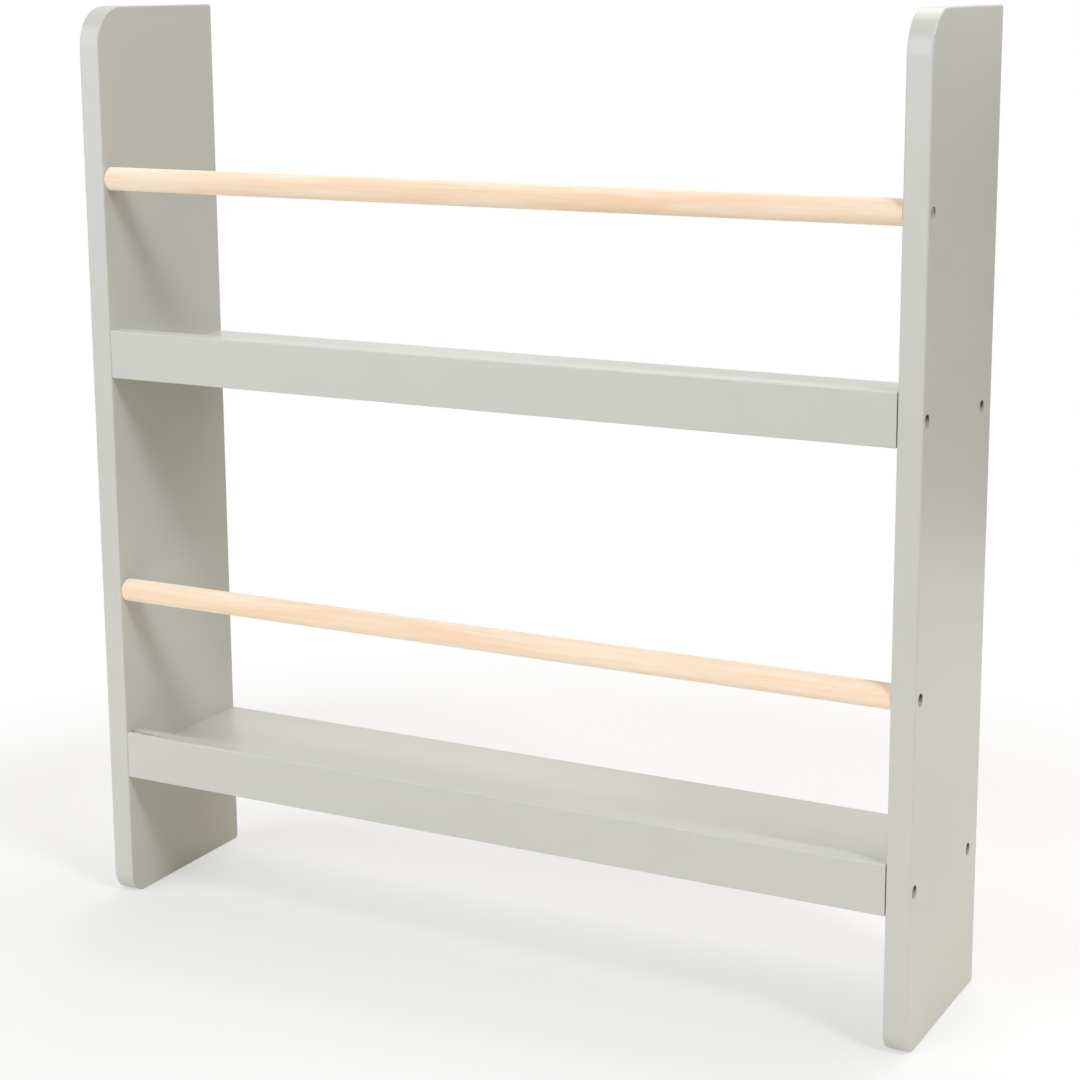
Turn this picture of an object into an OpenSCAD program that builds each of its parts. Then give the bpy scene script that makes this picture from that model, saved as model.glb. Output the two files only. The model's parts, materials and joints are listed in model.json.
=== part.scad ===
// Wall shelf for books: two side panels, two shelves with a front lip,
// and a round rail above each shelf. Millimetres, +Z up, the wall at +Y,
// the origin on the floor under the middle of the shelf.

/* [Overall] */
// Width over the outer faces of the two side panels
overall_w = 570; // [400:5:900]
// Depth of a side panel, from its front edge to the wall
panel_d = 125; // [100:1:200]
// Height of a side panel
panel_h = 600; // [560:5:800]
// Thickness of a side panel
panel_t = 15; // [14:0.5:22]

/* [Side panel outline] */
// Radius of the top front corner
corner_top_r = 25; // [5:1:40]
// Radius of the bottom front corner
corner_bottom_r = 14; // [3:1:30]
// Radius of the two rear corners
corner_rear_r = 2.5; // [1.5:0.5:10]
// Softening of the panel's edges
panel_edge_r = 1; // [0.5:0.1:1.4]

/* [Shelves] */
// Height of the lower shelf's underside above the floor
lower_shelf_z = 85; // [40:1:120]
// Height of the upper shelf's underside above the floor
upper_shelf_z = 360; // [300:1:400]
// Thickness of a deck board
deck_t = 15; // [12:0.5:20]
// Softening of a deck's rear edges
deck_edge_r = 1; // [0.5:0.1:2]
// Height of a lip board, measured from the shelf's underside
lip_h = 31.5; // [24:0.5:60]
// Thickness of a lip board
lip_t = 12; // [10:0.5:18]
// Distance of a lip's face behind the panels' front edges
lip_setback = 0.5; // [0:0.1:5]
// Softening of a lip's edges
lip_edge_r = 1.5; // [0.5:0.1:3]

/* [Rails] */
// Diameter of a round rail
rail_d = 15; // [10:0.5:20]
// Height of a rail's axis above its shelf's underside
rail_up = 130; // [80:1:180]
// Distance of a rail's surface behind the panels' front edges
rail_setback = 0.5; // [0:0.1:5]

/* [Furniture screws] */
// Diameter of a screw head
head_d = 7.4; // [6.5:0.1:9]
// Height of a screw head
head_h = 4; // [3:0.1:5]
// Depth of an upper rail screw's head below the panel's outer face
upper_rail_head_sunk = 1; // [0.5:0.1:4]
// Depth of a lower rail screw's head below the panel's outer face
lower_rail_head_sunk = 3; // [0.5:0.1:4]
// Depth of a shelf screw's head below the panel's outer face
shelf_head_sunk = 3; // [0.5:0.1:4]
// Width across the flats of the hexagon socket
socket_af = 4; // [2.5:0.5:5]
// Depth of the hexagon socket
socket_depth = 2.2; // [1.5:0.1:2.6]
// Length of a screw, head included
screw_l = 50; // [40:1:60]
// Diameter of the plain shank under the head
shank_d = 4.6; // [3.8:0.1:5.2]
// Outer diameter of the thread
thread_d = 5; // [4:0.1:5.5]
// Depth of the thread
thread_depth = 0.7; // [0.4:0.1:0.9]
// Pitch of the thread
thread_pitch = 2.4; // [1.8:0.1:3]
// Length of the screw's pointed tip
tip_l = 4; // [3:0.5:6]
// Distance of a deck's screw from the panel's rear edge
deck_screw_in = 18; // [12:0.5:40]

/* [Lip dowels] */
// Diameter of a wooden dowel between deck and lip
dowel_d = 6; // [5:0.5:8]
// Length of a dowel
dowel_l = 24; // [18:1:30]
// Length of a dowel inside the lip
dowel_in_lip = 8; // [5:0.5:9]
// Number of dowels in a shelf
dowel_count = 3; // [2:1:5]
// Distance of the outer dowels from the side panels
dowel_end_gap = 70; // [40:5:120]
// Chamfer at a dowel's ends
dowel_chamfer = 0.8; // [0.4:0.1:1.2]

/* [Hanger plates] */
// Width of a keyhole plate
plate_w = 12; // [11:0.5:13]
// Height of a keyhole plate
plate_h = 46; // [40:1:60]
// Thickness of a keyhole plate
plate_t = 1.5; // [1:0.1:2]
// Distance of a plate's top end below the panel's top
plate_top_gap = 22; // [15:1:60]
// Diameter of the keyhole's round entry
entry_d = 8.5; // [7:0.5:9]
// Width of the keyhole's slot
slot_w = 4.4; // [3.5:0.1:5]
// Distance from the entry's centre up to the slot's end centre
slot_rise = 11; // [8:1:13]
// Depth of the pocket behind a plate, for the wall screw's head
pocket_depth = 10; // [6:0.5:20]
// Space between the pocket and the keyhole's edge
pocket_margin = 0.75; // [0.5:0.25:1]
// Diameter of the plate screws' thread
plate_screw_d = 3; // [2.5:0.1:3.5]
// Diameter of the plate screws' countersunk head
plate_screw_head_d = 5.8; // [5:0.1:6.5]
// Length of a plate screw
plate_screw_l = 14; // [10:1:20]
// Distance of a plate screw from the plate's end
plate_screw_in = 5.5; // [5:0.5:8]

/* [Clearances] */
// Radial clearance of a screw head in its counterbore
head_clear = 0.3; // [0.1:0.05:0.5]
// Radial clearance of a shank or thread in its bore
shank_clear = 0.1; // [0.05:0.05:0.3]
// Radial clearance of a dowel in its bore
dowel_clear = 0.05; // [0.03:0.01:0.1]
// Clearance round a hanger plate in its recess
plate_clear = 0.1; // [0.05:0.05:0.3]
// Spare depth of a blind bore beyond the screw or dowel in it
blind_spare = 1; // [0.5:0.1:3]

/* [Hidden] */
$fn = 64;
eps = 1;
half_w = overall_w / 2;
front_y = -panel_d / 2;
rear_y = panel_d / 2;
inner_x = half_w - panel_t;
span = 2 * inner_x;
shelf_z = [upper_shelf_z, lower_shelf_z];
rail_head_sunk = [upper_rail_head_sunk, lower_rail_head_sunk];
lip_y = front_y + lip_setback;
deck_y = lip_y + lip_t;
deck_d = rear_y - deck_y;
rail_y = front_y + rail_setback + rail_d / 2;
lip_screw_y = lip_y + lip_t / 2;
deck_screw_y = rear_y - deck_screw_in;
dowel_x = inner_x - dowel_end_gap;
thread_r = thread_d / 2;
core_r = thread_r - thread_depth;
shank_r = shank_d / 2;
// Distance from the head's face to the end of the plain shank
shank_end = head_h + panel_t;
thread_turns = floor((screw_l - tip_l - shank_end) / thread_pitch);
entry_z = panel_h - plate_top_gap - plate_h / 2 - slot_rise / 2;
plate_z = panel_h - plate_top_gap - plate_h / 2;
plate_screw_dz = plate_h / 2 - plate_screw_in;
plate_head_h = (plate_screw_head_d - plate_screw_d) / 2;
plate_tip_l = plate_screw_d;
panel_x = half_w - panel_t / 2;
paint = [0.76, 0.76, 0.72];
pale_wood = [0.93, 0.78, 0.6];
steel = [0.62, 0.62, 0.62];

// What is left of a square corner outside a quarter circle
module corner_waste(r) {
  difference() {
    translate([-eps, -eps]) square(r + eps);
    translate([r, r]) circle(r);
  }
}

// A w by h rectangle with a radius of its own at each corner:
// low left, low right, high right, high left
module soft_rect(w, h, radii) {
  difference() {
    square([w, h]);
    if (radii[0] > 0) corner_waste(radii[0]);
    if (radii[1] > 0) translate([w, 0]) mirror([1, 0]) corner_waste(radii[1]);
    if (radii[2] > 0) translate([w, h]) rotate(180) corner_waste(radii[2]);
    if (radii[3] > 0) translate([0, h]) mirror([0, 1]) corner_waste(radii[3]);
  }
}

// A slot shape of width w, with its end centres a distance l apart along +Y
module stadium(w, l) {
  circle(w / 2);
  translate([-w / 2, 0]) square([w, l]);
  translate([0, l]) circle(w / 2);
}

// A board that runs across between the two panels, from its end outline
module cross_board(y, z) {
  translate([-inner_x, y, z]) rotate([90, 0, 90]) linear_extrude(span) children();
}

// A quarter of a disc with a softened rim, centred on the panel's X axis
module corner_quarter(r) {
  rotate([0, 90, 0]) rotate_extrude(angle = 90)
    soft_rect(r, panel_t, [0, panel_edge_r, panel_edge_r, 0]);
}

// One corner of the panel's outline, its centre r in from both edges
module panel_corner(r, y, z, turn) {
  translate([0, y, z]) rotate([turn, 0, 0]) corner_quarter(r);
}

// The blank of a side panel, its outer face at x = 0 and its front at y = 0
module panel_blank() {
  top_r = corner_top_r;
  low_r = corner_bottom_r;
  back_r = corner_rear_r;
  top_z = panel_h - top_r;
  panel_corner(top_r, top_r, top_z, 180);
  panel_corner(low_r, low_r, low_r, 270);
  panel_corner(back_r, panel_d - back_r, panel_h - back_r, 90);
  panel_corner(back_r, panel_d - back_r, back_r, 0);
  // Front, rear, bottom and top strips, then the plain field between them
  translate([0, 0, low_r]) side_strip(top_r, top_z - low_r);
  translate([0, panel_d, back_r]) mirror([0, 1, 0]) side_strip(top_r, panel_h - 2 * back_r);
  translate([0, low_r, 0]) end_strip(low_r, panel_d - low_r - back_r);
  translate([0, top_r, panel_h]) mirror([0, 0, 1]) end_strip(top_r, panel_d - top_r - back_r);
  translate([0, low_r, low_r]) cube([panel_t, panel_d - low_r - top_r, top_z - low_r]);
}

// A strip that stands up, with its softened edge at y = 0
module side_strip(w, l) {
  linear_extrude(l) soft_rect(panel_t, w, [panel_edge_r, panel_edge_r, 0, 0]);
}

// A strip that lies along Y, with its softened edge at z = 0
module end_strip(w, l) {
  translate([0, l, 0]) rotate([90, 0, 0]) linear_extrude(l)
    soft_rect(panel_t, w, [panel_edge_r, panel_edge_r, 0, 0]);
}

// Moves a screw, or its bores, to a place on the left (-1) or right (1) panel
module at_side(side, sunk, y, z) {
  translate([side * (half_w - sunk), y, z]) rotate([0, -90 * side, 0]) children();
}

// A furniture screw along +Z, its head's face at z = 0
module furniture_screw() {
  socket_d = socket_af / cos(30);
  head_chamfer = 0.4;
  profile = concat(
    [[0, 0], [head_d / 2 - head_chamfer, 0], [head_d / 2, head_chamfer],
     [head_d / 2, head_h], [shank_r, head_h], [shank_r, shank_end], [core_r, shank_end]],
    [for (i = [0 : thread_turns - 1], step = [0 : 2])
      [step == 1 ? thread_r : core_r, shank_end + (i + [0.15, 0.5, 0.85][step]) * thread_pitch]],
    [[core_r, screw_l - tip_l], [0, screw_l]]
  );
  color(steel) difference() {
    rotate_extrude() polygon(profile);
    translate([0, 0, -eps]) cylinder(d = socket_d, h = socket_depth + eps, $fn = 6);
  }
}

// The bores of one furniture screw, from its head's face inwards
module screw_bores(sunk) {
  translate([0, 0, -sunk - eps]) cylinder(r = head_d / 2 + head_clear, h = sunk + head_h + eps);
  cylinder(r = thread_r + shank_clear, h = screw_l + blind_spare);
}

// The bores of all the screws that hold the panel of one side
module side_bores(side) {
  for (level = [0, 1]) {
    z = shelf_z[level];
    at_side(side, rail_head_sunk[level], rail_y, z + rail_up) screw_bores(rail_head_sunk[level]);
    at_side(side, shelf_head_sunk, lip_screw_y, z + lip_h / 2) screw_bores(shelf_head_sunk);
    at_side(side, shelf_head_sunk, deck_screw_y, z + deck_t / 2) screw_bores(shelf_head_sunk);
  }
}

// Turns an outline in X and Z, such as a plate's, to face the wall
module facing_wall(side, y, z, depth) {
  translate([side * panel_x, y, z]) rotate([90, 0, 0]) linear_extrude(depth) children();
}

// The recess, the pocket and the pilot bores for one hanger plate
module hanger_cuts(side) {
  seat_w = plate_w + 2 * plate_clear;
  pocket_w = entry_d + 2 * pocket_margin;
  facing_wall(side, rear_y + eps, plate_z - plate_h / 2 + plate_w / 2, plate_t + eps)
    stadium(seat_w, plate_h - plate_w);
  facing_wall(side, rear_y, entry_z, plate_t + pocket_depth) stadium(pocket_w, slot_rise);
  for (dz = [-plate_screw_dz, plate_screw_dz])
    translate([side * panel_x, rear_y, plate_z + dz]) rotate([90, 0, 0])
      cylinder(r = plate_screw_d / 2 + shank_clear, h = plate_screw_l + blind_spare);
}

// One side panel
module side_panel(side) {
  color(paint) difference() {
    translate([side < 0 ? -half_w : inner_x, front_y, 0]) panel_blank();
    side_bores(side);
    hanger_cuts(side);
  }
}

// The dowels of one shelf, grown by a clearance when they cut their bores
module dowel_row(z, grow, spare) {
  r = dowel_d / 2 + grow;
  l = dowel_l + 2 * spare;
  for (i = [0 : dowel_count - 1])
    translate([-dowel_x + 2 * dowel_x * i / (dowel_count - 1), deck_y - dowel_in_lip - spare, z + deck_t / 2])
      rotate([-90, 0, 0]) rotate_extrude()
        polygon([[0, 0], [r - dowel_chamfer, 0], [r, dowel_chamfer],
                 [r, l - dowel_chamfer], [r - dowel_chamfer, l], [0, l]]);
}

// A shelf's deck board, between the panels and behind the lip
module deck(z) {
  color(paint) difference() {
    cross_board(deck_y, z) soft_rect(deck_d, deck_t, [0, deck_edge_r, deck_edge_r, 0]);
    for (side = [-1, 1]) side_bores(side);
    dowel_row(z, dowel_clear, blind_spare / 2);
  }
}

// A shelf's lip board, upright in front of the deck
module lip(z) {
  color(paint) difference() {
    cross_board(lip_y, z) soft_rect(lip_t, lip_h, [lip_edge_r, 0, lip_edge_r, lip_edge_r]);
    for (side = [-1, 1]) side_bores(side);
    dowel_row(z, dowel_clear, blind_spare / 2);
  }
}

// A round rail, butted between the panels
module rail(z) {
  color(pale_wood) difference() {
    translate([-inner_x, rail_y, z + rail_up]) rotate([0, 90, 0]) cylinder(d = rail_d, h = span);
    for (side = [-1, 1]) side_bores(side);
  }
}

// A screw of one rail, one lip or one deck
module rail_screw(side, level) {
  at_side(side, rail_head_sunk[level], rail_y, shelf_z[level] + rail_up) furniture_screw();
}
module lip_screw(side, z) {
  at_side(side, shelf_head_sunk, lip_screw_y, z + lip_h / 2) furniture_screw();
}
module deck_screw(side, z) {
  at_side(side, shelf_head_sunk, deck_screw_y, z + deck_t / 2) furniture_screw();
}

// The row of dowels between one deck and its lip
module lip_dowels(z) {
  color(pale_wood) dowel_row(z, 0, 0);
}

// The tapered seat of a countersunk head, from the plate's rear face inwards
module countersink(grow) {
  cylinder(r1 = plate_screw_head_d / 2 + grow, r2 = plate_screw_d / 2 + grow, h = plate_head_h);
}

// A keyhole plate, let in flush in a panel's rear edge
module hanger_plate(side) {
  color(steel) difference() {
    facing_wall(side, rear_y, plate_z - plate_h / 2 + plate_w / 2, plate_t)
      stadium(plate_w, plate_h - plate_w);
    facing_wall(side, rear_y + eps, entry_z, plate_t + 2 * eps) circle(d = entry_d);
    facing_wall(side, rear_y + eps, entry_z, plate_t + 2 * eps) stadium(slot_w, slot_rise);
    for (dz = [-plate_screw_dz, plate_screw_dz])
      translate([side * panel_x, rear_y, plate_z + dz]) rotate([90, 0, 0]) {
        countersink(shank_clear);
        cylinder(r = plate_screw_d / 2 + shank_clear, h = plate_t + eps);
      }
  }
}

// The two countersunk screws of one hanger plate
module hanger_screws(side) {
  r = plate_screw_d / 2;
  slot_across = 0.8;
  slot_deep = 0.7;
  color(steel) for (dz = [-plate_screw_dz, plate_screw_dz])
    translate([side * panel_x, rear_y, plate_z + dz]) rotate([90, 0, 0]) difference() {
      rotate_extrude() polygon([[0, 0], [plate_screw_head_d / 2, 0], [r, plate_head_h],
        [r, plate_screw_l - plate_tip_l], [0, plate_screw_l]]);
      for (turn = [0, 90]) rotate(turn)
        translate([-plate_screw_head_d / 4, -slot_across / 2, -eps])
          cube([plate_screw_head_d / 2, slot_across, slot_deep + eps]);
    }
}

side_panel(-1);  // side_panel_left
side_panel(1);  // side_panel_right
deck(upper_shelf_z);  // upper_deck
deck(lower_shelf_z);  // lower_deck
lip(upper_shelf_z);  // upper_lip
lip(lower_shelf_z);  // lower_lip
rail(upper_shelf_z);  // upper_rail
rail(lower_shelf_z);  // lower_rail
rail_screw(-1, 0);  // upper_rail_screw_left
rail_screw(1, 0);  // upper_rail_screw_right
rail_screw(-1, 1);  // lower_rail_screw_left
rail_screw(1, 1);  // lower_rail_screw_right
lip_screw(-1, upper_shelf_z);  // upper_lip_screw_left
lip_screw(1, upper_shelf_z);  // upper_lip_screw_right
lip_screw(-1, lower_shelf_z);  // lower_lip_screw_left
lip_screw(1, lower_shelf_z);  // lower_lip_screw_right
deck_screw(-1, upper_shelf_z);  // upper_deck_screw_left
deck_screw(1, upper_shelf_z);  // upper_deck_screw_right
deck_screw(-1, lower_shelf_z);  // lower_deck_screw_left
deck_screw(1, lower_shelf_z);  // lower_deck_screw_right
lip_dowels(upper_shelf_z);  // upper_lip_dowels
lip_dowels(lower_shelf_z);  // lower_lip_dowels
hanger_plate(-1);  // hanger_plate_left
hanger_plate(1);  // hanger_plate_right
hanger_screws(-1);  // hanger_screws_left
hanger_screws(1);  // hanger_screws_right
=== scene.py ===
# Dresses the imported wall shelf: satin sage-grey paint on the boards, pale
# wood rails and zinc-plated fittings, in soft studio light. Metres, +Z up.
import json
import math

import bmesh
import bpy
from mathutils import Euler, Matrix, Vector


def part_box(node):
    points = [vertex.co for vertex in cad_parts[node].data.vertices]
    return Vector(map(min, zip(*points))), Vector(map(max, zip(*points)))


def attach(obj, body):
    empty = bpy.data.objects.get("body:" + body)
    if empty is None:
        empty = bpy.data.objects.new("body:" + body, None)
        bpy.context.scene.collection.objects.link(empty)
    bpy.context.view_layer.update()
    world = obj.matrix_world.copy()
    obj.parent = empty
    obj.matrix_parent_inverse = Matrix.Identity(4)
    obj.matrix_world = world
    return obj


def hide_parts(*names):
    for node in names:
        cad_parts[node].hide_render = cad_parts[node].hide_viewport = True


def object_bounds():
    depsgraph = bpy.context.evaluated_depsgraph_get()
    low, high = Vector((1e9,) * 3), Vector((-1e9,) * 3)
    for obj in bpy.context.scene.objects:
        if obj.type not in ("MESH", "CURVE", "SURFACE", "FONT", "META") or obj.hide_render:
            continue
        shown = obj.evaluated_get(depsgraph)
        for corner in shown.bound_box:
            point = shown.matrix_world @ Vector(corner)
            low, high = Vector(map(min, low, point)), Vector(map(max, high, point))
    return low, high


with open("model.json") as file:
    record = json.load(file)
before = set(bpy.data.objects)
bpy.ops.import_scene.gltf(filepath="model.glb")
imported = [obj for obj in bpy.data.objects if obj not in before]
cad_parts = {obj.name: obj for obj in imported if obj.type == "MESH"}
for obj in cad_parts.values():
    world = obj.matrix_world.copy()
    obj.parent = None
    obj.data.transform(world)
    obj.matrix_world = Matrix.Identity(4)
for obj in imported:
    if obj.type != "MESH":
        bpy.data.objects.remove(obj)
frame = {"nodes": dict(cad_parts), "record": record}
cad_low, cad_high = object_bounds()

MM = 0.001
MICRON = 1e-6

# The camera, as fitted to the photograph's edges. The photograph is square,
# and its focal length and axis are given in its own pixels.
PHOTO_PX = 1080
CAMERA_AT = Vector((0.6905, -1.2880, 0.6180))
CAMERA_YAW = 27.69
CAMERA_PITCH = 11.46
CAMERA_ROLL = -0.33
FOCAL_PX = 2363
AXIS_PX = (540, 454)
SENSOR_MM = 36
CLIP_START = 0.01

# Edges: the faces in a quarter turn, the angle from which an edge stays sharp,
# and the distance within which points are one
EDGE_SEGMENTS = 4
SHARP_ANGLE = 40
MERGE_DISTANCE = 1 * MICRON

# The lips' softened edges, and their gaps to the side panels
LIP_EDGE = 0.7 * MM
LIP_END_EDGE = 0.3 * MM
LIP_LEFT_GAP = 0.05 * MM
LIP_RIGHT_GAP = 0.6 * MM

# The split in the lower lip's top: it starts at the left end, in the middle of
# the board, and runs forward as it closes. The paint has chipped off its rims,
# mostly the front one. How far it opens and how wide the front chip is are
# shares of the gap and the chip, at even steps along its length.
SPLIT_LENGTH = 31 * MM
SPLIT_BACK = 5.3 * MM
SPLIT_DRIFT = 3.6 * MM
SPLIT_GAP = 0.8 * MM
SPLIT_CHIP = 2.0 * MM
SPLIT_CHIP_DROP = 0.12 * MM
SPLIT_REAR_CHIP = 0.12 * MM
SPLIT_DEPTH = 2.4 * MM
SPLIT_OPEN = (2.0, 1.0, 0.95, 0.9, 0.8, 0.75, 0.6, 0.4, 0.0)
SPLIT_CHIPPED = (1.0, 0.6, 1.0, 1.1, 0.95, 0.55, 0.6, 0.3, 0.0)

# Bare wood and the split's inside, which is painted near-black as shade, by
# # their places after the paint among a lip's materials, and the split's faces
# # from its rear rim to its front one
BARE = 1
SPLIT_SHADE = 2
SPLIT_FINISHES = (BARE, SPLIT_SHADE, SPLIT_SHADE, BARE)

# The rails' eased ends
RAIL_EASE = 0.6 * MM
RAIL_SIDES = 96

# The counterbores' walls are raw, and painted near-black as shade, between two
# depths below a panel's outer face, clear of the panel's edges. The upper
# rail's, above a height, take half that painted shade. Walls facing down get
# the painted shade, and walls facing up keep the paint colour, with an uneven
# edge.
BORE_FROM = 14.7 * MM
BORE_TO = 0.25 * MM
EDGE_CLEAR = 2.5 * MM
FOOT_CLEAR = 30 * MM
CORNER_CLEAR = 30 * MM
HALF_SHADE_ABOVE = 450 * MM
HALF_SHADE_CUT = 0.5
BORE_SHADE_LIMITS = (-0.15, 1.2)
BORE_UNEVEN = 0.9
BORE_BLOTCH = (450, 2)
BORE_SHADE_RAW = (0.05, 0.041, 0.032)

# Light: soft boxes, each with its name, its bearing from the front towards +X,
# its height angle, distance, width, power and colour; the plain light of the
# room; and the strength of what is seen as white
SOFT_BOXES = (
    ("key_right", 67, 34.5, 2.6, 0.5, 20, (0.925, 0.93, 0.965)),
    ("fill_right", 90, 35, 2.6, 2.4, 16, (0.925, 0.93, 0.965)),
    ("front_left", -33, 20, 2.6, 2.4, 43, (0.84, 0.875, 0.97)),
    ("front_low", 0, 18, 2.6, 1.5, 9.5, (0.82, 0.86, 0.975)),
    ("top_back", 180, 57, 5.0, 4.6, 143, (0.955, 0.925, 0.965)),
)
ROOM = (0.24, 0.215, 0.11)
WHITE = 1.0

# The white sheet that the shelf stands on, and the dim floor beyond it: where
# the sheet ends, what the camera sees of it, and where its shadow shows
FLOOR_HALF = 40.0
SHEET_COLOUR = (0.85, 0.828, 0.745)
DIM_COLOUR = (0.15, 0.137, 0.112)
SHEET_ENDS = (1.08, 1.5)
SHEET_SEEN = (0.95, 0.96, 1.0)
SHADOW_SHOWS = (0.33, 0.7)
SHADOW_LIFT = 0.45

# In the finishes, colours are linear, and each noise has its scale per metre
# and its detail. A roughness is what a noise adds and what is always there.

# Paint: clouds in its shade, a roller's peel, a fine grain and a haze
PAINT = (0.600, 0.605, 0.580)
PAINT_SHADE = (0.585, 0.592, 0.566)
PAINT_IOR = 1.6
CLOUD = (9, 3)
CLOUD_LIMITS = (0.35, 0.65)
PEEL = (420, 2)
PEEL_DEPTH = 6 * MICRON
GRAIN = (2600, 2)
GRAIN_DEPTH = 1.5 * MICRON
HAZE = (60, 2)
PAINT_ROUGH = (0.08, 0.27)

# Wood: each pattern has its scale along and across the grain, its detail and
# its roughness. The patterns wander off the straight together.
WANDER_SCALE = (7, 18, 18)
WANDER = (0, 9 * MM, 9 * MM)
FLAMES = ((5, 150, 150), 2, 0.5)
STREAKS = ((14, 420, 420), 3, 0.55)
FIBRES = ((60, 1300, 1300), 3, 0.6)
FLECKS = ((140, 1700, 1700), 1, 0.5)
FLAME_SHARE = 0.4
STREAK_SHARE = 0.4
FIBRE_SHARE = 0.2
TONE_LIMITS = (0.41, 0.62)
FLECK_LIMITS = (0.72, 0.82)
FLECK_SHARE = 0.2
FLECK_COLOUR = (0.55, 0.36, 0.22)
FIBRE_DEPTH = 8 * MICRON
FIBRE_ROUGH = 0.12

# The woods: each with its name, its pale and its dark colour, its least
# roughness and its gloss
WOODS = (
    ("rail_beech", (0.99, 0.865, 0.745), (0.965, 0.765, 0.575), 0.6, 0.05),
    ("dowel_beech", (0.70, 0.52, 0.34), FLECK_COLOUR, 0.6, 0.3),
    ("bare_wood", (0.72, 0.63, 0.53), (0.68, 0.56, 0.45), 0.7, 0.3),
    # The split's inside: wood painted near-black as shade
    ("split_shade_wood", (0.09, 0.07, 0.055), (0.05, 0.035, 0.025), 0.8, 0.3),
)

# Zinc: its plating is cloudy, and it has fine scratches
ZINC = (0.80, 0.80, 0.78)
ZINC_SHADE = 0.8
ZINC_CLOUD = (700, 3)
ZINC_LIMITS = (0.3, 0.7)
ZINC_HAZE = (1500, 2)
ZINC_ROUGH = (0.25, 0.33)
SCRATCH_SCALE = (300, 6000, 300)
SCRATCH_DETAIL = 2
SCRATCH_DEPTH = 2 * MICRON


class Nodes:
    """Builds a node tree: each call adds a node, and links or sets its inputs."""

    def __init__(self, tree):
        self.tree = tree
        tree.nodes.clear()

    def add(self, kind, settings=None, **inputs):
        """Adds a node. An input goes by its name, or by its number as i0, i1 and so on."""
        node = self.tree.nodes.new(kind)
        for key, value in (settings or {}).items():
            setattr(node, key, value)
        for key, value in inputs.items():
            place = int(key[1:]) if key[1:].isdigit() else key.replace("_", " ")
            if isinstance(value, bpy.types.NodeSocket):
                self.tree.links.new(value, node.inputs[place])
            else:
                node.inputs[place].default_value = value
        return node

    def math(self, operation, *values):
        inputs = {f"i{number}": value for number, value in enumerate(values)}
        return self.add("ShaderNodeMath", {"operation": operation}, **inputs).outputs[0]

    def place(self):
        return self.add("ShaderNodeTexCoord").outputs["Object"]

    def split(self, vector):
        return self.add("ShaderNodeSeparateXYZ", i0=vector).outputs

    def scaled(self, place, scale):
        return self.add("ShaderNodeMapping", Vector=place, Scale=scale).outputs[0]

    def noise(self, place, scale, detail, roughness=0.5):
        return self.add("ShaderNodeTexNoise", Vector=place, Scale=scale, Detail=detail,
                        Roughness=roughness).outputs

    def ramp(self, factor, low, high):
        return self.add("ShaderNodeMapRange", {"interpolation_type": "SMOOTHSTEP"},
                        Value=factor, From_Min=low, From_Max=high).outputs[0]

    def mix(self, factor, first, second):
        """Blends two colours, which are the mix node's inputs 6 and 7 and its output 2."""
        first, second = ((*colour, 1) if isinstance(colour, tuple) else colour
                         for colour in (first, second))
        node = self.add("ShaderNodeMix", {"data_type": "RGBA"}, i0=factor, i6=first, i7=second)
        return node.outputs[2]

    def bump(self, height, depth, **below):
        return self.add("ShaderNodeBump", Height=height, Strength=1.0, Distance=depth,
                        **below).outputs[0]


def material(name):
    made = bpy.data.materials.new(name)
    made.use_nodes = True
    return made, Nodes(made.node_tree)


def bore_shade_mask(nodes):
    """How much painted shade a face takes: up to one on the raw walls of the panels'
    counterbores, and zero elsewhere."""
    at = nodes.split(nodes.place())
    limits = (
        (at["X"], cad_high.x - BORE_FROM, cad_high.x - BORE_TO),
        (at["Y"], 0, cad_high.y - EDGE_CLEAR),
        (at["Z"], FOOT_CLEAR, cad_high.z - CORNER_CLEAR),
    )
    # The upper rail's bores take half the painted shade
    is_upper = nodes.math("GREATER_THAN", at["Z"], HALF_SHADE_ABOVE)
    shade_mask = nodes.math("SUBTRACT", 1.0, nodes.math("MULTIPLY", is_upper, HALF_SHADE_CUT))
    for value, low, high in limits:
        size = nodes.math("ABSOLUTE", value)
        above = nodes.math("GREATER_THAN", size, low)
        below = nodes.math("LESS_THAN", size, high)
        shade_mask = nodes.math("MULTIPLY", shade_mask, nodes.math("MULTIPLY", above, below))
    return shade_mask


def paint_material():
    """Satin paint on smooth board: a faint roller texture and cloudiness. The
    counterbores' walls are raw and painted near-black as shade, darkest where they
    face down, and keep the paint colour where they face up."""
    made, nodes = material("satin_paint")
    place = nodes.place()
    cloud = nodes.ramp(nodes.noise(place, *CLOUD)["Fac"], *CLOUD_LIMITS)
    colour = nodes.mix(cloud, PAINT_SHADE, PAINT)
    # Painted shade in the counterbores: walls facing down go near-black, walls facing up keep the
    # paint colour
    facing_up = nodes.split(nodes.add("ShaderNodeNewGeometry").outputs["Normal"])["Z"]
    blotch = nodes.noise(place, *BORE_BLOTCH)["Fac"]
    facing_lit = nodes.math("MULTIPLY_ADD", blotch, BORE_UNEVEN, facing_up)
    shaded_wall = nodes.mix(nodes.ramp(facing_lit, *BORE_SHADE_LIMITS), BORE_SHADE_RAW, PAINT_SHADE)
    colour = nodes.mix(bore_shade_mask(nodes), colour, shaded_wall)
    peel = nodes.bump(nodes.noise(place, *PEEL)["Fac"], PEEL_DEPTH)
    grain = nodes.bump(nodes.noise(place, *GRAIN)["Fac"], GRAIN_DEPTH, Normal=peel)
    rough = nodes.math("MULTIPLY_ADD", nodes.noise(place, *HAZE)["Fac"], *PAINT_ROUGH)
    shader = nodes.add("ShaderNodeBsdfPrincipled", Base_Color=colour, Roughness=rough,
                       IOR=PAINT_IOR, Normal=grain)
    nodes.add("ShaderNodeOutputMaterial", Surface=shader.outputs[0])
    return made


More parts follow.
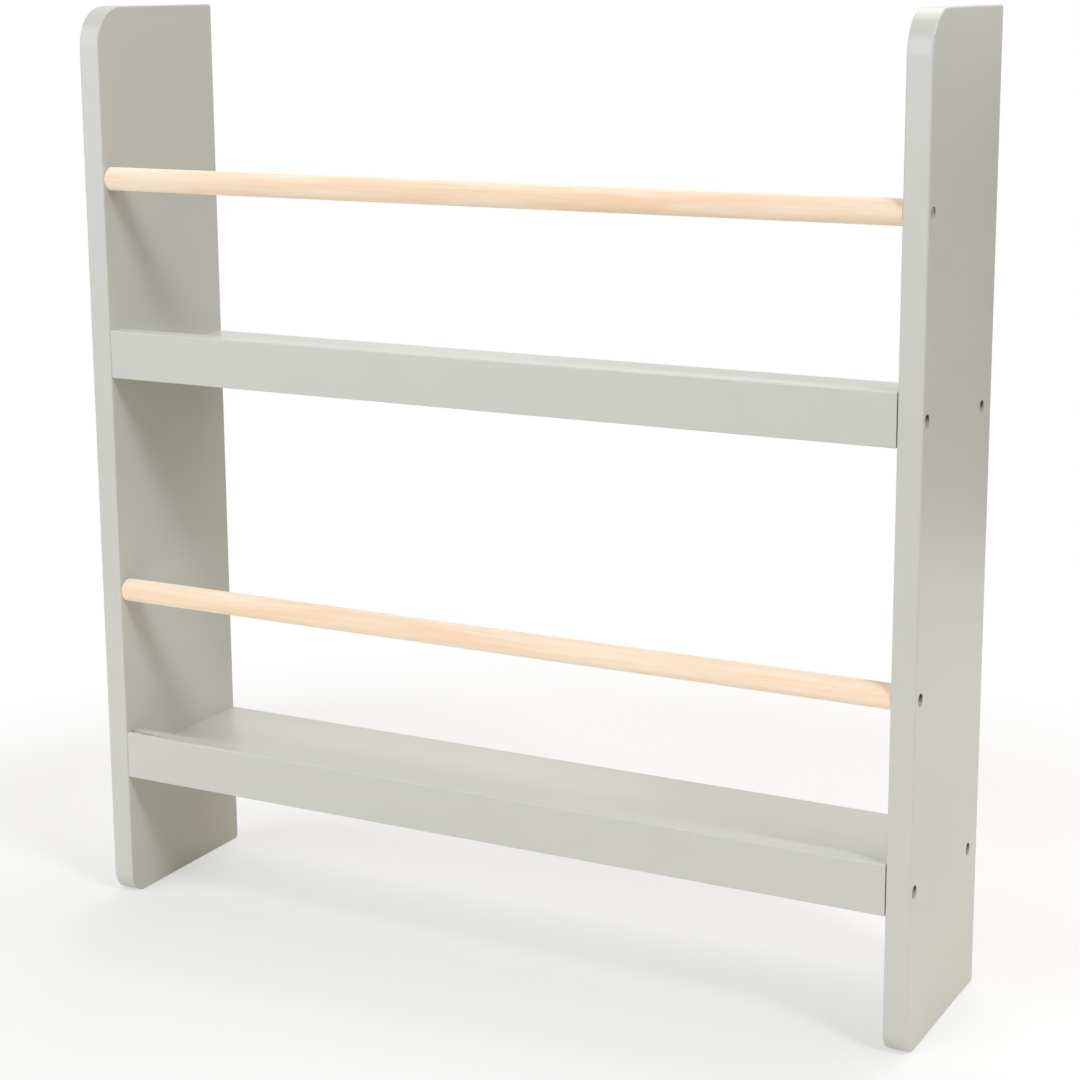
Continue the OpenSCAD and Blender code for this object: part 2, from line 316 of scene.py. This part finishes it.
def wood_material(name, pale, dark, least_rough, gloss):
    """Pale hardwood with its grain along X: growth flames, fibres and flecks that
    wander off the straight."""
    made, nodes = material(name)
    place = nodes.place()
    wander = nodes.noise(nodes.scaled(place, WANDER_SCALE), 1, 1)["Color"]
    bent = nodes.add("ShaderNodeVectorMath", {"operation": "MULTIPLY_ADD"},
                     i0=wander, i1=WANDER, i2=place).outputs[0]

    def pattern(scale, detail, roughness):
        return nodes.noise(nodes.scaled(bent, scale), 1, detail, roughness)["Fac"]

    flames = pattern(*FLAMES)
    streaks = pattern(*STREAKS)
    fibres = pattern(*FIBRES)
    tone = nodes.math("MULTIPLY", streaks, STREAK_SHARE)
    tone = nodes.math("MULTIPLY_ADD", flames, FLAME_SHARE, tone)
    tone = nodes.math("MULTIPLY_ADD", fibres, FIBRE_SHARE, tone)
    colour = nodes.mix(nodes.ramp(tone, *TONE_LIMITS), pale, dark)
    fleck = nodes.ramp(pattern(*FLECKS), *FLECK_LIMITS)
    colour = nodes.mix(nodes.math("MULTIPLY", fleck, FLECK_SHARE), colour, FLECK_COLOUR)
    relief = nodes.bump(nodes.math("SUBTRACT", fibres, fleck), FIBRE_DEPTH)
    rough = nodes.math("MULTIPLY_ADD", fibres, FIBRE_ROUGH, least_rough)
    shader = nodes.add("ShaderNodeBsdfPrincipled", Base_Color=colour, Roughness=rough,
                       Normal=relief, Diffuse_Roughness=1.0, Specular_IOR_Level=gloss)
    nodes.add("ShaderNodeOutputMaterial", Surface=shader.outputs[0])
    return made


def zinc_material():
    """Zinc-plated steel, with fine scratches and a slightly cloudy plating."""
    made, nodes = material("zinc_plate")
    place = nodes.place()
    cloud = nodes.ramp(nodes.noise(place, *ZINC_CLOUD)["Fac"], *ZINC_LIMITS)
    colour = nodes.mix(cloud, tuple(ZINC_SHADE * part for part in ZINC), ZINC)
    rough = nodes.math("MULTIPLY_ADD", nodes.noise(place, *ZINC_HAZE)["Fac"], *ZINC_ROUGH)
    scratches = nodes.noise(nodes.scaled(place, SCRATCH_SCALE), 1, SCRATCH_DETAIL)["Fac"]
    shader = nodes.add("ShaderNodeBsdfPrincipled", Base_Color=colour, Roughness=rough,
                       Metallic=1.0, Normal=nodes.bump(scratches, SCRATCH_DEPTH))
    nodes.add("ShaderNodeOutputMaterial", Surface=shader.outputs[0])
    return made


def white_rays(nodes, mirrors_where=1.0):
    """The rays that see white: the camera's, and where it's wanted those off gloss and
    through glass."""
    path = nodes.add("ShaderNodeLightPath").outputs
    mirrored = nodes.math("MAXIMUM", path["Is Glossy Ray"], path["Is Transmission Ray"])
    wanted = nodes.math("MULTIPLY", mirrored, mirrors_where)
    return nodes.math("MAXIMUM", path["Is Camera Ray"], wanted)


def floor_material():
    """A white sheet on a dim floor. The camera sees both white, with the shadow kept,
    and gloss and glass see the sheet white."""
    made, nodes = material("studio_floor")
    far = nodes.add("ShaderNodeVectorMath", {"operation": "LENGTH"},
                    i0=nodes.place()).outputs["Value"]
    beyond = nodes.ramp(far, *SHEET_ENDS)
    seen = nodes.add("ShaderNodeLightPath").outputs["Is Camera Ray"]
    colour = nodes.mix(seen, nodes.mix(beyond, SHEET_COLOUR, DIM_COLOUR), SHEET_SEEN)
    white = nodes.math("MAXIMUM", nodes.ramp(far, *SHADOW_SHOWS), SHADOW_LIFT)
    white = nodes.math("MULTIPLY", white, white_rays(nodes, nodes.math("SUBTRACT", 1.0, beyond)))
    matt = nodes.add("ShaderNodeBsdfDiffuse", Color=colour)
    glow = nodes.add("ShaderNodeEmission", Color=(1, 1, 1, 1), Strength=WHITE)
    blend = nodes.add("ShaderNodeMixShader", i0=white, i1=matt.outputs[0], i2=glow.outputs[0])
    nodes.add("ShaderNodeOutputMaterial", Surface=blend.outputs[0])
    return made


def link(name, data):
    made = bpy.data.objects.new(name, data)
    bpy.context.scene.collection.objects.link(made)
    return made


def dressed(name, mesh, finishes, node):
    """A finished piece that takes the place of one CAD node."""
    piece = link(name, mesh)
    for finish in finishes:
        mesh.materials.append(finish)
    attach(piece, "root")
    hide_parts(node)
    return piece


def eased_ends(low, high, ease):
    """The rings of a bar's two rounded ends: where each one is along X, and how far it
    is drawn in."""
    turns = [math.radians(90 * step / EDGE_SEGMENTS) for step in range(EDGE_SEGMENTS + 1)]
    left = [(low.x + ease * (1 - math.sin(turn)), ease * (1 - math.cos(turn)))
            for turn in reversed(turns)]
    right = [(low.x + high.x - x, inset) for x, inset in reversed(left)]
    return left, right


def join_rings(shape, rings, finishes):
    """Faces from each ring to the next one, and over both ends. The finishes go by a
    face's place in its ring, and the rest are the first finish."""
    for near, far in zip(rings, rings[1:]):
        for corner in range(len(near)):
            after = (corner + 1) % len(near)
            face = shape.faces.new((near[corner], near[after], far[after], far[corner]))
            face.material_index = finishes.get(corner, 0)
    shape.faces.new(rings[0])
    shape.faces.new(rings[-1])


def finished_mesh(shape, name):
    """Closes a mesh's making: faces outwards, rounded parts smooth, true edges sharp."""
    bmesh.ops.recalc_face_normals(shape, faces=shape.faces[:])
    mesh = bpy.data.meshes.new(name)
    shape.to_mesh(mesh)
    shape.free()
    mesh.shade_smooth()
    mesh.set_sharp_from_angle(angle=math.radians(SHARP_ANGLE))
    return mesh


def split_at(share):
    """The split's five points at a share of its length, each with its distance from the
    lip's front and below its top: the rear rim and its chip, the bottom, and the front
    chip and rim."""
    place = share * (len(SPLIT_OPEN) - 1)
    step = min(int(place), len(SPLIT_OPEN) - 2)
    opened, chipped = (values[step] + (values[step + 1] - values[step]) * (place - step)
                       for values in (SPLIT_OPEN, SPLIT_CHIPPED))
    rim = SPLIT_BACK - SPLIT_DRIFT * share
    front = rim - SPLIT_GAP * opened
    return (
        (rim, 0),
        (rim, SPLIT_REAR_CHIP * opened),
        ((rim + front) / 2, SPLIT_DEPTH * opened),
        (front, SPLIT_CHIP_DROP * chipped),
        (front - SPLIT_CHIP * chipped, 0),
    )


def lip_outline(low, high, inset, split):
    """A lip's rounded outline in Y and Z, as seen along X, with the split's points after
    its first edge, the top rear one."""
    front, rear = low.y + LIP_EDGE, high.y - LIP_EDGE
    bottom, top = low.z + LIP_EDGE, high.z - LIP_EDGE
    radius = LIP_EDGE - inset
    points = []
    for y, z, start in ((rear, top, 0), (front, top, 90), (front, bottom, 180), (rear, bottom, 270)):
        for step in range(EDGE_SEGMENTS + 1):
            turn = math.radians(start + 90 * step / EDGE_SEGMENTS)
            points.append((y + radius * math.cos(turn), z + radius * math.sin(turn)))
        if start == 0:
            points += [(low.y + back, high.z - inset - down) for back, down in split]
    return points


def lip_mesh(low, high, is_split):
    """A lip board: its outline run along X, with rounded ends and, if it has one, the
    split."""
    stations, right_end = eased_ends(low, high, LIP_END_EDGE)
    if is_split:
        steps = len(SPLIT_OPEN) - 1
        stations += [(low.x + SPLIT_LENGTH * step / steps, 0) for step in range(1, steps + 1)]
    board = bmesh.new()
    rings = []
    for x, inset in stations + right_end:
        split = split_at(min((x - low.x) / SPLIT_LENGTH, 1)) if is_split else ()
        outline = lip_outline(low, high, inset, split)
        rings.append([board.verts.new((x, y, z)) for y, z in outline])
    finishes = dict(enumerate(SPLIT_FINISHES, EDGE_SEGMENTS + 1)) if is_split else {}
    join_rings(board, rings, finishes)
    bmesh.ops.remove_doubles(board, verts=board.verts[:], dist=MERGE_DISTANCE)
    return finished_mesh(board, "lip")


def turned_bar(low, high, ease):
    """A round bar along X with eased ends, turned from its outline."""
    centre = (low + high) / 2
    turns = [2 * math.pi * side / RAIL_SIDES for side in range(RAIL_SIDES)]
    left_end, right_end = eased_ends(low, high, ease)
    bar = bmesh.new()
    rings = []
    for x, inset in left_end + right_end:
        radius = (high.z - low.z) / 2 - inset
        ring = [(centre.y + radius * math.cos(turn), centre.z + radius * math.sin(turn))
                for turn in turns]
        rings.append([bar.verts.new((x, y, z)) for y, z in ring])
    join_rings(bar, rings, {})
    return finished_mesh(bar, "turned_bar")


def make_camera():
    turn = Euler((math.radians(90 - CAMERA_PITCH), 0, math.radians(CAMERA_YAW))).to_matrix()
    roll = Matrix.Rotation(math.radians(CAMERA_ROLL), 3, "Z")
    data = bpy.data.cameras.new("camera")
    data.sensor_width = SENSOR_MM
    data.lens = FOCAL_PX / PHOTO_PX * data.sensor_width
    data.shift_x = (PHOTO_PX / 2 - AXIS_PX[0]) / PHOTO_PX
    data.shift_y = (AXIS_PX[1] - PHOTO_PX / 2) / PHOTO_PX
    data.clip_start = CLIP_START
    camera = link("camera", data)
    camera.matrix_world = Matrix.LocRotScale(CAMERA_AT, turn @ roll, None)
    bpy.context.scene.camera = camera


def make_world():
    world = bpy.data.worlds.new("studio")
    world.use_nodes = True
    bpy.context.scene.world = world
    nodes = Nodes(world.node_tree)
    soft = nodes.add("ShaderNodeBackground", Color=(*ROOM, 1), Strength=1.0)
    white = nodes.add("ShaderNodeBackground", Color=(1, 1, 1, 1), Strength=WHITE)
    blend = nodes.add("ShaderNodeMixShader", i0=white_rays(nodes), i1=soft.outputs[0],
                      i2=white.outputs[0])
    nodes.add("ShaderNodeOutputWorld", Surface=blend.outputs[0])


def make_floor():
    grid = bmesh.new()
    bmesh.ops.create_grid(grid, x_segments=1, y_segments=1, size=FLOOR_HALF)
    mesh = bpy.data.meshes.new("floor")
    grid.to_mesh(mesh)
    grid.free()
    mesh.materials.append(floor_material())
    link("floor", mesh)


def soft_box_light(name, bearing, height, distance, width, power, colour):
    """A square soft light, aimed at the middle of the shelf."""
    data = bpy.data.lights.new(name, "AREA")
    data.size = width
    data.energy = power
    data.color = colour
    lamp = link(name, data)
    turn = Euler((math.radians(90 - height), 0, math.radians(bearing)))
    lamp.location = (cad_low + cad_high) / 2 + turn.to_matrix() @ Vector((0, 0, distance))
    lamp.rotation_euler = turn


def finish_node(name, finish):
    mesh = frame["nodes"][name].data
    mesh.materials.clear()
    mesh.materials.append(finish)


make_camera()
make_world()
make_floor()
for box in SOFT_BOXES:
    soft_box_light(*box)

paint = paint_material()
rail_wood, dowel_wood, bare_wood, split_shade_wood = (wood_material(*wood) for wood in WOODS)
zinc = zinc_material()

BY_SLOT = {
    "painted_board": paint,
    "rail_wood": rail_wood,
    "dowel_wood": dowel_wood,
    "screw_steel": zinc,
    "plate_steel": zinc,
}
for row in frame["record"]["subparts"]:
    finish_node(row["node"], BY_SLOT[row["material_slot"]])

for level in ("upper", "lower"):
    low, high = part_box(f"{level}_lip")
    low = low + Vector((LIP_LEFT_GAP, 0, 0))
    high = high - Vector((LIP_RIGHT_GAP, 0, 0))
    mesh = lip_mesh(low, high, level == "lower")
    lip = dressed(f"{level}_lip_board", mesh, (paint, bare_wood, split_shade_wood),
                  f"{level}_lip")
    lip.modifiers.new("even_shading", "WEIGHTED_NORMAL").keep_sharp = True
    low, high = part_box(f"{level}_rail")
    mesh = turned_bar(low, high, RAIL_EASE)
    dressed(f"{level}_rail_bar", mesh, (rail_wood,), f"{level}_rail")

bpy.context.scene.view_settings.view_transform = "Standard"
